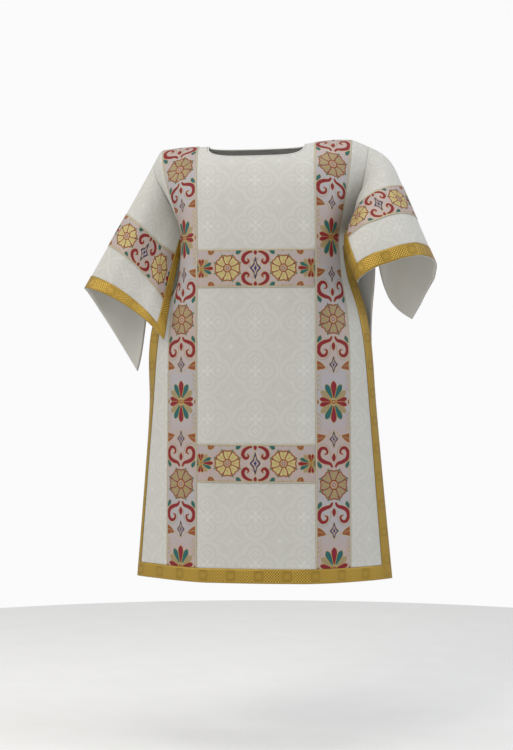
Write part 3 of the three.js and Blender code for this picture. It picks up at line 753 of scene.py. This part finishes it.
def lozenge(draw, x, y, wide, high):
    """A blue lozenge with hollow sides, a rose field and a small blue heart."""
    corner = [(0, -1), (0.38, -0.38), (1, 0), (0.38, 0.38), (0, 1), (-0.38, 0.38), (-1, 0), (-0.38, -0.38)]
    for silk, share, rim in ((BLUE, 1.0, GOLD), (ROSE, 0.66, None), (BLUE, 0.30, None)):
        sized = [(x + px * wide * share, y + py * high * share) for px, py in corner]
        draw.leaf(silk, sized, False, rim=rim, width=1.3)


def upright(draw, y):
    """One drop of the upright design, alike above and below the rosette at y."""
    half = Figures()
    # Two scrolls part from the rosette and roll in at the edges, with a leaf in each fork.
    half.stem(CRIMSON, [(4, 42), (10, 51), (23, 55), (35, 62), (39, 76), (32, 88), (21, 87), (17, 77), (25, 73)],
              [4, 7, 9, 9.5, 9, 8, 6.5, 4.5, 1.5], rim=GOLD)
    half.leaf(CRIMSON, [(0, 56), (5, 65), (0, 76), (-5, 65)], False, rim=GOLD)
    half.leaf(TEAL, [(34, 40), (41, 46), (42, 57), (36, 53), (31, 47)], rim=GOLD)
    half.stem(PALE, [(8, 62), (9, 76), (14, 90), (24, 98), (36, 97), (44, 90)], [1.4, 1.6, 1.6, 1.4, 0.8])
    # A lozenge between two leaves that grow in from the edges, and gold berries round it.
    lozenge(half, 0, 110, 11, 20)
    half.leaf(RUST, [(48, 102), (38, 103), (28, 110), (22, 118), (32, 121), (48, 122)], rim=GOLD)
    half.stem(PALE, [(26, 116), (36, 112), (46, 111)], [0.8, 1.8, 2.0])
    for k in range(5):
        bx, by = set_down([(17, 0)], 0, 112, 20 + 35 * k)[0]
        half.dot(GOLD, bx, by, 1.9, sides=7)
    # A palmette that meets its like halfway to the next rosette, with feathers beside it.
    palmette(half, 0, REPEAT / 2, -90, 50)
    for k in range(4):
        feather = [(46, 140 + 11 * k), (38, 137 + 11 * k), (33 - k, 128 + 11 * k)]
        half.stem((GOLD, PALE)[k % 2], feather, [2.4, 2.0, 0.6])
    half.leaf(CRIMSON, [(48, REPEAT / 2 - 9), (42, REPEAT / 2 - 5), (39, REPEAT / 2), (48, REPEAT / 2)], rim=GOLD)
    for sign in (1, -1):
        for silk, shape in half.shapes:
            draw.fill(silk, [(px, y + sign * py) for px, py in shape], False)
    rosette(draw, 0, y, 36, PALE)


def crosswise(draw, x):
    """The cross design: a lozenge at x, a rosette on each side of it, then a palmette."""
    half = Figures()
    lozenge(half, 0, 0, 13, 27)
    half.leaf(CRIMSON, [(0, 32), (4, 38), (0, 45), (-4, 38)], False, rim=GOLD)
    half.stem(CRIMSON, [(7, 40), (17, 38), (27, 31), (30, 20), (23, 12), (16, 17), (20, 23)],
              [3, 6.5, 8.5, 8.5, 7, 4.5, 1.5], rim=GOLD)
    half.leaf(TEAL, [(34, 43), (40, 34), (47, 35), (45, 43)], rim=GOLD)
    half.leaf(RUST, [(100, 47), (103, 36), (112, 33), (116, 40), (114, 47)], rim=GOLD)
    half.stem(PALE, [(104, 44), (108, 39), (112, 37)], [1.6, 1.4, 0.6])
    for k in range(4):
        half.dot(GOLD, 56 + 10 * k, 43 - 2 * (k % 2), 1.9, sides=7)
    for sign in (1, -1):
        for silk, shape in half.shapes:
            draw.fill(silk, [(x + px, sign * py) for px, py in shape], False)
        for turn in (0, 180):
            palmette(draw, x + 134 * sign, 0, turn, 31)
        rosette(draw, x + 68 * sign, 0, 31, STRAW)


def woven(draw, low, high, step):
    """The drawing cut to a rectangle of cloth, as corners and faces with their silks."""
    wide, tall = (max(2, round((high[k] - low[k]) / step)) for k in (0, 1))
    spots = [Vector((low[0] + (high[0] - low[0]) * i / wide, low[1] + (high[1] - low[1]) * j / tall))
             for i in range(wide + 1) for j in range(tall + 1)]
    rim = [0, tall, len(spots) - 1, len(spots) - 1 - tall]
    edges = [(rim[k], rim[(k + 1) % 4]) for k in range(4)]
    shapes = []
    def short(a, b):
        """A straight edge cut so short that it bends with the cloth."""
        a, b = Vector(a), Vector(b)
        cuts = math.ceil((b - a).length / step)
        return [a.lerp(b, k / cuts) for k in range(cuts)]

    for silk, shape in draw.shapes:
        if (max(p[0] for p in shape) > low[0] and min(p[0] for p in shape) < high[0]
                and max(p[1] for p in shape) > low[1] and min(p[1] for p in shape) < high[1]):
            shapes.append((silk, shape))
            ring = [p for a, b in zip(shape, shape[1:] + shape[:1]) if a != b for p in short(a, b)]
            edges += [(len(spots) + k, len(spots) + (k + 1) % len(ring)) for k in range(len(ring))]
            spots += ring
    points, _, cells, _, _, _ = delaunay_2d_cdt(spots, edges, [], 0, 0.02, False)
    # Each small face takes the silk of the last shape drawn over its middle.
    flat = np.array([tuple(p) for p in points])
    middle = flat[np.array([tuple(cell) for cell in cells])].mean(1)
    owner = np.zeros(len(cells), int)
    for silk, shape in shapes:
        ring = np.array([tuple(p) for p in shape])
        near = np.flatnonzero(((middle > ring.min(0)) & (middle < ring.max(0))).all(1))
        turns = np.zeros(len(near), int)
        for a, b in zip(ring, np.roll(ring, -1, 0)):
            left = (b[0] - a[0]) * (middle[near, 1] - a[1]) - (b[1] - a[1]) * (middle[near, 0] - a[0])
            turns += ((a[1] <= middle[near, 1]) & (b[1] > middle[near, 1]) & (left > 0)).astype(int)
            turns -= ((a[1] > middle[near, 1]) & (b[1] <= middle[near, 1]) & (left < 0)).astype(int)
        owner[near[turns != 0]] = silk
    inside = ((middle > np.array(low)) & (middle < np.array(high))).all(1)
    return points, [(cell, int(silk)) for cell, silk, kept in zip(cells, owner, inside) if kept]


def band(name, drawing, place, turn=False):
    """A band woven to its drawing. place lays a flat point on the worn cloth."""
    points, cells = drawing
    net = bmesh.new()
    flat = net.loops.layers.uv.new("flat_cloth")
    corners, used = {}, sorted({k for cell, _ in cells for k in cell})
    for k in used:
        corners[k] = net.verts.new(place(points[k].x, points[k].y))
    for cell, silk in cells:
        order = cell if turn else tuple(reversed(cell))
        face = net.faces.new([corners[k] for k in order])
        face.material_index = silk
        for loop, k in zip(face.loops, order):
            loop[flat].uv = points[k] / 1000
    mesh = bpy.data.meshes.new(name)
    net.to_mesh(mesh)
    net.free()
    made = piece(name, mesh, *silks)
    wall = made.modifiers.new("wall", "SOLIDIFY")
    wall.thickness = TRIM / 1000
    wall.offset = -1
    return made


def edged(draw, low, high, along_y):
    """Cream cord along both long edges, with one gold thread inside it."""
    for silk, a, b in ((CREAM, 0, 2.6), (GROUND, 2.6, 3.6), (GOLD, 3.6, 4.5)):
        for near, far in ((low + a, low + b), (high - b, high - a)):
            ends = (-280, 1120)
            box = [(near, ends[0]), (far, ends[0]), (far, ends[1]), (near, ends[1])]
            draw.fill(silk, box if along_y else [(y, x) for x, y in box], False)


draw = Figures()
for y in (100, 100 + REPEAT, 100 + 2 * REPEAT):
    upright(draw, y)
edged(draw, -ORPHREY / 2, ORPHREY / 2, True)
clavus_drawing = woven(draw, (-ORPHREY / 2, 0), (ORPHREY / 2, LENGTH - GALLOON - 0.3), 9)

draw = Figures()
crosswise(draw, 0)
edged(draw, -ORPHREY / 2, ORPHREY / 2, False)
cross_drawing = woven(draw, (-CLAVUS_IN + 0.3, -ORPHREY / 2), (CLAVUS_IN - 0.3, ORPHREY / 2), 9)

draw = Figures()
for k in (-1, 1):
    crosswise(draw, 134 * k)
edged(draw, -ORPHREY / 2, ORPHREY / 2, False)
BAND_HALF = SLEEVE_HALF - GALLOON - 0.3
sleeve_drawing = woven(draw, (-BAND_HALF, -ORPHREY / 2), (BAND_HALF, ORPHREY / 2), 8)

for side in ("front", "back"):
    facing = 1 if side == "front" else -1
    for name, sign in (("right", -1), ("left", 1)):
        def place(x, y, side=side, sign=sign, facing=facing):
            return panel_cloth(side, sign * (CLAVUS_IN + ORPHREY / 2) + facing * x, max(y, SEAM), GAP + TRIM)
        clavus = band(f"{side}_upright_{name}", clavus_drawing, place)
        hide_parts(f"clavus_{side}_{name}")
    for name, (top, bottom) in CROSS_BANDS.items():
        def place(x, y, side=side, facing=facing, middle=(top + bottom) / 2):
            return panel_cloth(side, facing * x, middle + y, GAP + TRIM)
        crossing = band(f"{side}_cross_{name}", cross_drawing, place)
        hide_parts(f"crossband_{side}_{name}")
for arm in ARMS:
    def place(x, y, arm=arm):
        return sleeve_cloth(arm, sum(SLEEVE_BAND) / 2 + y, -ARMS[arm]["side"] * x / SLEEVE_HALF, GAP + TRIM)
    around = band(f"{arm}_sleeve_orphrey", sleeve_drawing, place)
    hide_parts(f"sleeve_band_{arm}")


# ---- The gold braid
# Galloon 35 mm wide, woven from gilt thread in lattice blocks and stars between two
# corded edges, sewn round both hems, up the open sides, round the cuffs and up the
# open edges under the arms. Its corners are mitred.
galloon, tree = finish("gilt_galloon")
flat = put(tree, "UVMap", uv_map="flat_cloth")
spread = put(tree, "SeparateXYZ", [flat])
across, along = spread.node.outputs[0], spread.node.outputs[1]
middle = put(tree, "Math", [put(tree, "Math", [across, 0.0175], operation="SUBTRACT")], operation="ABSOLUTE")
# Lattice: two sets of raised gimp cords 3.4 mm apart, crossing at right angles.
cords = []
for sign in (1, -1):
    way = put(tree, "Math", [across, sign, along], operation="MULTIPLY_ADD")
    near = put(tree, "Math", [way, 0.0034], operation="PINGPONG")
    cords.append(put(tree, "MapRange", [near, 0.0, 0.0026, 1.0, 0.0], interpolation_type="SMOOTHSTEP"))
lattice = put(tree, "Math", [put(tree, "Math", cords, operation="ADD"), 0.58], operation="MULTIPLY")
# Stars: every 68 mm, eight rays on a plain ribbed ground 18 mm long.
from_star = put(tree, "Math", [along, 0.034], operation="PINGPONG")
fold_a = put(tree, "Math", [middle, from_star], operation="MAXIMUM")
fold_b = put(tree, "Math", [middle, from_star], operation="MINIMUM")
ray = put(tree, "Math", [put(tree, "Math", [fold_b, 2.6], operation="MULTIPLY"), fold_a], operation="ADD")
diagonal = put(tree, "Math", [put(tree, "Math", [fold_a, fold_b], operation="SUBTRACT"), 2.6, fold_a],
               operation="MULTIPLY_ADD")
star = put(tree, "Math", [ray, diagonal], operation="MINIMUM")
star = put(tree, "MapRange", [star, 0.0125, 0.0105, 0.0, 1.0])
block = put(tree, "MapRange", [from_star, 0.0110, 0.0120, 0.0, 1.0])
rib = put(tree, "TexWave", {"Vector": flat, "Scale": 0.314 / 0.0016}, 1, bands_direction="Y")
plain = put(tree, "Math", [put(tree, "Math", [rib, 0.30, 0.14], operation="MULTIPLY_ADD"),
                           put(tree, "Math", [star, 0.46], operation="MULTIPLY")], operation="MAXIMUM")
body = put(tree, "Mix", {0: block, 2: plain, 3: lattice}, 0, data_type="FLOAT")
# Two corded edges each side, beaded by the weft every 2.4 mm.
bead = put(tree, "Math", [along, 0.0012], operation="PINGPONG")
bead = put(tree, "MapRange", [bead, 0.0, 0.0012, 1.0, 0.55])
edge = put(tree, "Math", [put(tree, "Math", [middle, 0.0125], operation="SUBTRACT"), 0.00125], operation="PINGPONG")
edge = put(tree, "MapRange", [edge, 0.0, 0.00125, 0.25, 1.0], interpolation_type="SMOOTHSTEP")
edge = put(tree, "Math", [edge, put(tree, "Math", [bead, 0.8], operation="MULTIPLY")], operation="MULTIPLY")
at_edge = put(tree, "MapRange", [middle, 0.0122, 0.0128, 0.0, 1.0])
height = put(tree, "Mix", {0: at_edge, 2: body, 3: edge}, 0, data_type="FLOAT")
# Fine noise in the relief, which the colour below also turns into small painted glints.
glint = put(tree, "TexNoise", {"Vector": flat, "Scale": 520.0, "Detail": 3.0, "Roughness": 0.7})
height = put(tree, "Math", [glint, 0.35, height], operation="MULTIPLY_ADD")
# The braid's colour is mapped from this relief height: raised cords, beads and glints are painted light, and hollows
# and the low plain blocks are painted dark. This is a painted highlight and painted shade over the gilt thread's own
# tone.
painted_light_and_shade = put(tree, "MapRange", [height, 0.15, 1.15, 0.0, 1.0])
tone = put(tree, "Mix", {0: painted_light_and_shade, 6: linear("#6b4a0e"), 7: linear("#dcb94f")}, 2, data_type="RGBA")
relief = put(tree, "Bump", {"Strength": 0.7, "Distance": 0.0007, "Height": height})
surface = put(tree, "BsdfPrincipled", {
    "Base Color": tone, "Metallic": 0.55, "Roughness": 0.38, "Normal": relief})
put(tree, "OutputMaterial", [surface])


def braid(name, wide, high, place, node):
    """A length of braid, sewn to the edge of the cloth it lies on."""
    made = laid(name, wide, high, place, TRIM, galloon)
    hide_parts(node)
    return made


BRAID_TOP = ARMHOLE + 28
for side in ("front", "back"):
    facing = 1 if side == "front" else -1

    def hem_place(s, t, side=side, facing=facing):
        v = LENGTH - GALLOON * (1 - t)
        w = facing * (2 * s - 1) * (panel_half(v) - (LENGTH - v) - 0.1)
        return panel_cloth(side, w, v, GAP + TRIM), (GALLOON * (1 - t), w + 400)

    hem = braid(f"{side}_hem_braid", 150, 8, hem_place, f"galloon_hem_{side}")
    for name, sign in (("right", -1), ("left", 1)):
        def side_place(s, t, side=side, sign=sign, facing=facing):
            inner = s if sign * facing < 0 else 1 - s      # 0 at the panel's edge
            d = GALLOON * inner
            v = BRAID_TOP + (LENGTH - d - BRAID_TOP) * t
            return panel_cloth(side, sign * (panel_half(v) - d - 0.1), v, GAP + TRIM), (d, v)

        edging = braid(f"{side}_side_braid_{name}", 8, 150, side_place, f"galloon_side_{side}_{name}")
for arm, a in ARMS.items():
    def cuff_place(s, t, arm=arm):
        r = SLEEVE - GALLOON * (1 - t)
        w = (1 - 2 * s) * ARMS[arm]["side"] * (SLEEVE_HALF - (SLEEVE - r) - 0.1)
        return sleeve_cloth(arm, r, w / SLEEVE_HALF, GAP + TRIM), (GALLOON * (1 - t), w + 300)

    sewn_on = [braid(f"{arm}_cuff_braid", 110, 8, cuff_place, f"galloon_cuff_{arm}")]
    for where, sign in (("front", 1), ("back", -1)):
        def edge_place(s, t, arm=arm, sign=sign):
            inner = 1 - s if sign * ARMS[arm]["side"] < 0 else s
            d = GALLOON * inner
            q = sign * (SLEEVE_HALF - d - 0.1) / SLEEVE_HALF
            head = SLANT * abs(q)
            start = head + (141 - head) * 0.45
            r = start + (SLEEVE - d - start) * t
            return sleeve_cloth(arm, r, q, GAP + TRIM), (d, r)

        sewn_on.append(braid(f"{arm}_underarm_braid_{where}", 8, 44, edge_place, f"galloon_underarm_{where}_{arm}"))


# ---- The neck edge
# A bias strip of the white lining rolled tightly round the neckline, 4 mm thick, and
# felled by hand on the inside.
rolled, tree = finish("rolled_sateen")
flat = put(tree, "UVMap", uv_map="flat_cloth")
twist = put(tree, "TexWave", {"Vector": flat, "Scale": 0.314 / 0.0016, "Distortion": 1.2, "Detail": 2.0},
            1, bands_direction="DIAGONAL")
cloud = put(tree, "TexNoise", {"Vector": flat, "Scale": 40.0, "Detail": 3.0})
tone = put(tree, "Mix", {0: cloud, 6: linear("#cccbc4"), 7: linear("#d8d7d0")}, 2, data_type="RGBA")
relief = put(tree, "Bump", {"Strength": 0.3, "Distance": 0.0003, "Height": twist})
surface = put(tree, "BsdfPrincipled", {"Base Color": tone, "Roughness": 0.55, "Normal": relief, "Sheen Weight": 0.15})
put(tree, "OutputMaterial", [surface])

PIPING = 2.0           # radius of the roll
ring = ([("front", -w) for w in reversed(neck_columns[1:])] + [("front", w) for w in neck_columns]
        + [("back", w) for w in reversed(neck_columns[:-1])] + [("back", -w) for w in neck_columns[1:-1]])
centres = []
for side, w in ring:
    v, t, depth = neck_depth(side, w), w / NECK_HALF, NECK_DEPTH[side]
    fall = -((v / depth) ** 3) / depth if v > 0 else 0
    aside = Vector((-math.copysign(abs(t) ** 3, t) / NECK_HALF, fall)).normalized()
    reach = PIPING + 0.7
    centres.append(panel_cloth(side, w + aside.x * reach, max(v + aside.y * reach, 0), -CLOTH / 2))
ROUND = 10
tube = bmesh.new()
bmesh.ops.create_grid(tube, x_segments=len(ring), y_segments=ROUND, size=1)
flat = tube.loops.layers.uv.new("flat_cloth")
spots = {}
for vert in tube.verts:
    k = round((vert.co.x + 1) / 2 * len(ring))
    j = round((vert.co.y + 1) / 2 * ROUND)
    spots[vert] = (k, j)
    before, here, after = (centres[(k + n) % len(ring)] for n in (-1, 0, 1))
    way = (after - before).normalized()
    beside = way.cross(Vector((0, 0, 1))).normalized()
    up = beside.cross(way)
    angle = math.tau * j / ROUND
    vert.co = here + (beside * math.cos(angle) + up * math.sin(angle)) * PIPING / 1000
for face in tube.faces:
    for loop in face.loops:
        loop[flat].uv = (spots[loop.vert][0] * 0.009, spots[loop.vert][1] * 0.0013)
bmesh.ops.remove_doubles(tube, verts=tube.verts, dist=0.00002)
bmesh.ops.recalc_face_normals(tube, faces=tube.faces)
mesh = bpy.data.meshes.new("neck_roll")
tube.to_mesh(mesh)
tube.free()
neck_roll = piece("neck_roll", mesh, rolled)
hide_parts("neck_piping")
